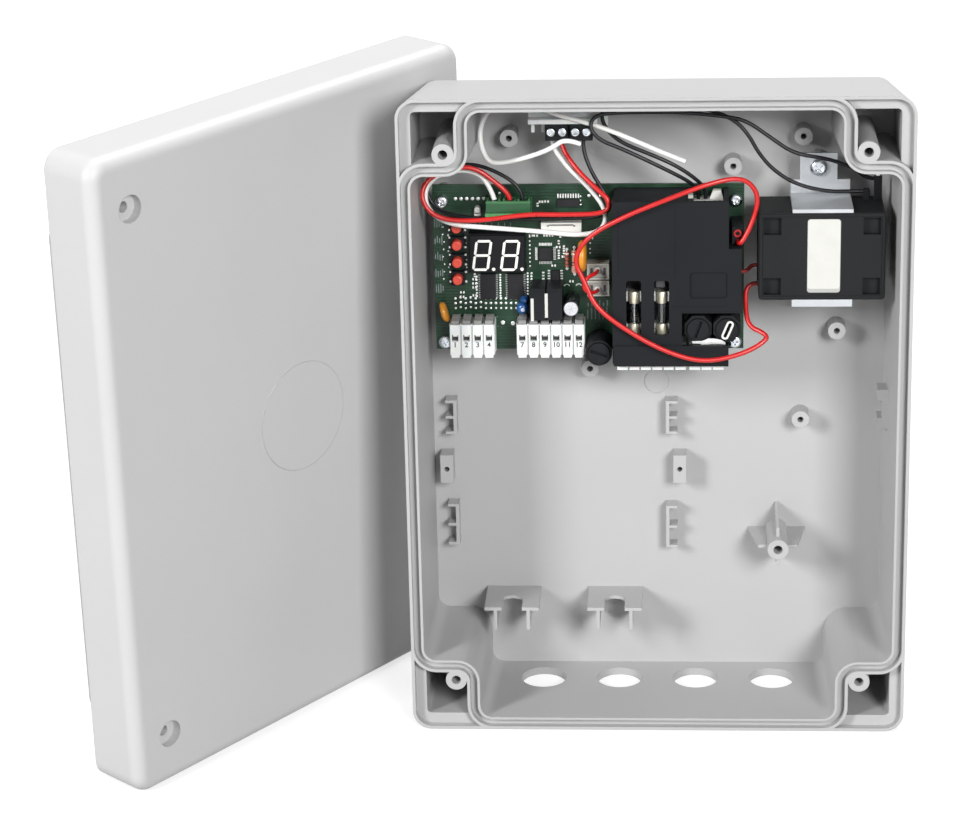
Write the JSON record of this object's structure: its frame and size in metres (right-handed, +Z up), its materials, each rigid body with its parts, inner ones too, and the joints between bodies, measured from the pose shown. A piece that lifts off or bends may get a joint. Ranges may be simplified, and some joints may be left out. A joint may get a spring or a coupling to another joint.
{
  "type": "gate control box",
  "caption": "Open grey wall box with its lid stood beside it, holding a control board with display, push buttons, lever terminals, fuses, transformer and loose wiring.",
  "frame": {"origin": "middle of the base's bottom outer wall, on the floor, on the base's centre line", "axes": "+X to the right seen from the open front, +Y from the open front to the back, +Z up; the base leans back 4.6 degrees because it stands on its drafted bottom wall"},
  "size_m": [0.3573, 0.1874, 0.29],
  "materials": {
    "black_plastic": "satin",
    "black_wire": "satin",
    "board": "satin solder mask",
    "button_red": "satin",
    "can_metal": "satin",
    "case_plastic": "fine moulded texture",
    "clip_metal": "tinned",
    "connector_grey": "satin",
    "connector_white": "satin",
    "cover_plastic": "fine texture",
    "display_black": "gloss",
    "fuse_caps": "nickel plated, bright",
    "fuse_glass": "clear",
    "lever_grey": "satin",
    "lid_plastic": "fine moulded texture",
    "orange_ceramic": "gloss",
    "plug_green": "satin",
    "red_wire": "satin",
    "seal_rubber": "matte",
    "terminal_white": "satin",
    "white_wire": "satin",
    "zinc_screws": "bright zinc",
    "zinc_strap": "zinc plated"
  },
  "bodies": {
    "case": {"accessory_plugs": "connector_grey", "accessory_tab_block": "black_plastic", "black_wire_mains_a": "black_wire", "black_wire_mains_b": "black_wire", "black_wire_signal": "black_wire", "board_chips": "black_plastic", "board_headers": "connector_white", "control_board": "board", "display_module": "display_black", "enclosure_base": "case_plastic", "filter_capacitor": "can_metal", "fixing_screws": "zinc_screws", "fuse_clips": "clip_metal", "fuse_end_caps": "fuse_caps", "fuse_glass": "fuse_glass", "fuse_link_bar": "clip_metal", "fuse_sockets": "black_plastic", "input_terminals": "terminal_white", "leaded_parts": "orange_ceramic", "mains_plug": "connector_white", "output_terminals": "terminal_white", "power_cover": "cover_plastic", "power_terminals": "terminal_white", "red_wire_link": "red_wire", "red_wire_loop": "red_wire", "red_wire_short": "red_wire", "red_wire_signal": "red_wire", "relays": "black_plastic", "signal_plug": "plug_green", "strip_bracket": "terminal_white", "strip_screws": "zinc_screws", "switch_bodies": "black_plastic", "terminal_strip": "black_plastic", "transformer_body": "cover_plastic", "transformer_pins": "clip_metal", "transformer_strap": "zinc_strap", "white_wire_link": "white_wire", "white_wire_signal": "white_wire", "white_wire_spare": "white_wire"},
    "lid_body": {"lid": "lid_plastic", "lid_seal": "seal_rubber"},
    "lever_01_body": {"lever_01": "lever_grey"},
    "lever_02_body": {"lever_02": "lever_grey"},
    "lever_03_body": {"lever_03": "lever_grey"},
    "lever_04_body": {"lever_04": "lever_grey"},
    "lever_07_body": {"lever_07": "lever_grey"},
    "lever_08_body": {"lever_08": "lever_grey"},
    "lever_09_body": {"lever_09": "lever_grey"},
    "lever_10_body": {"lever_10": "lever_grey"},
    "lever_11_body": {"lever_11": "lever_grey"},
    "lever_12_body": {"lever_12": "lever_grey"},
    "button_1_body": {"button_1": "button_red"},
    "button_2_body": {"button_2": "button_red"},
    "button_3_body": {"button_3": "button_red"},
    "button_4_body": {"button_4": "button_red"},
    "fuse_cap_1_body": {"fuse_cap_1": "black_plastic"},
    "fuse_cap_2_body": {"fuse_cap_2": "black_plastic"},
    "fuse_cap_board_body": {"fuse_cap_board": "black_plastic"}
  },
  "joints": [
    {"name": "press_button_1", "type": "slide", "parent": "case", "child": "button_1_body", "axis": [0, 0.9968, -0.0804], "range_m": [0, 0.0003], "stiffness_N_per_m": 2000},
    {"name": "press_button_2", "type": "slide", "parent": "case", "child": "button_2_body", "axis": [0, 0.9968, -0.0804], "range_m": [0, 0.0003], "stiffness_N_per_m": 2000},
    {"name": "press_button_3", "type": "slide", "parent": "case", "child": "button_3_body", "axis": [0, 0.9968, -0.0804], "range_m": [0, 0.0003], "stiffness_N_per_m": 2000},
    {"name": "press_button_4", "type": "slide", "parent": "case", "child": "button_4_body", "axis": [0, 0.9968, -0.0804], "range_m": [0, 0.0003], "stiffness_N_per_m": 2000},
    {"name": "tilt_lever_01", "type": "hinge", "parent": "case", "child": "lever_01_body", "pos_m": [-0.0886, 0.01766, 0.17916], "axis": [1, 0, 0], "range_deg": [0, 8], "stiffness_Nm_per_rad": 0.05},
    {"name": "tilt_lever_02", "type": "hinge", "parent": "case", "child": "lever_02_body", "pos_m": [-0.0836, 0.01766, 0.17916], "axis": [1, 0, 0], "range_deg": [0, 8], "stiffness_Nm_per_rad": 0.05},
    {"name": "tilt_lever_03", "type": "hinge", "parent": "case", "child": "lever_03_body", "pos_m": [-0.0786, 0.01766, 0.17916], "axis": [1, 0, 0], "range_deg": [0, 8], "stiffness_Nm_per_rad": 0.05},
    {"name": "tilt_lever_04", "type": "hinge", "parent": "case", "child": "lever_04_body", "pos_m": [-0.0736, 0.01766, 0.17916], "axis": [1, 0, 0], "range_deg": [0, 8], "stiffness_Nm_per_rad": 0.05},
    {"name": "tilt_lever_07", "type": "hinge", "parent": "case", "child": "lever_07_body", "pos_m": [-0.0589, 0.01766, 0.17916], "axis": [1, 0, 0], "range_deg": [0, 8], "stiffness_Nm_per_rad": 0.05},
    {"name": "tilt_lever_08", "type": "hinge", "parent": "case", "child": "lever_08_body", "pos_m": [-0.0539, 0.01766, 0.17916], "axis": [1, 0, 0], "range_deg": [0, 8], "stiffness_Nm_per_rad": 0.05},
    {"name": "tilt_lever_09", "type": "hinge", "parent": "case", "child": "lever_09_body", "pos_m": [-0.0489, 0.01766, 0.17916], "axis": [1, 0, 0], "range_deg": [0, 8], "stiffness_Nm_per_rad": 0.05},
    {"name": "tilt_lever_10", "type": "hinge", "parent": "case", "child": "lever_10_body", "pos_m": [-0.0439, 0.01766, 0.17916], "axis": [1, 0, 0], "range_deg": [0, 8], "stiffness_Nm_per_rad": 0.05},
    {"name": "tilt_lever_11", "type": "hinge", "parent": "case", "child": "lever_11_body", "pos_m": [-0.0389, 0.01766, 0.17916], "axis": [1, 0, 0], "range_deg": [0, 8], "stiffness_Nm_per_rad": 0.05},
    {"name": "tilt_lever_12", "type": "hinge", "parent": "case", "child": "lever_12_body", "pos_m": [-0.0339, 0.01766, 0.17916], "axis": [1, 0, 0], "range_deg": [0, 8], "stiffness_Nm_per_rad": 0.05},
    {"name": "turn_fuse_cap_1", "type": "hinge", "parent": "case", "child": "fuse_cap_1_body", "pos_m": [0.0184, -0.00294, 0.18253], "axis": [0, -0.9968, 0.0804], "range_deg": [0, 90]},
    {"name": "turn_fuse_cap_2", "type": "hinge", "parent": "case", "child": "fuse_cap_2_body", "pos_m": [0.0309, -0.00294, 0.18253], "axis": [0, -0.9968, 0.0804], "range_deg": [0, 90]},
    {"name": "turn_fuse_cap_board", "type": "hinge", "parent": "case", "child": "fuse_cap_board_body", "pos_m": [-0.025, 0.00163, 0.16952], "axis": [0, -0.9968, 0.0804], "range_deg": [0, 90]},
    {"name": "lid_lift", "type": "slide", "parent": "case", "child": "lid_body", "axis": [0, 0, 1], "range_m": [0, 0.12]}
  ]
}
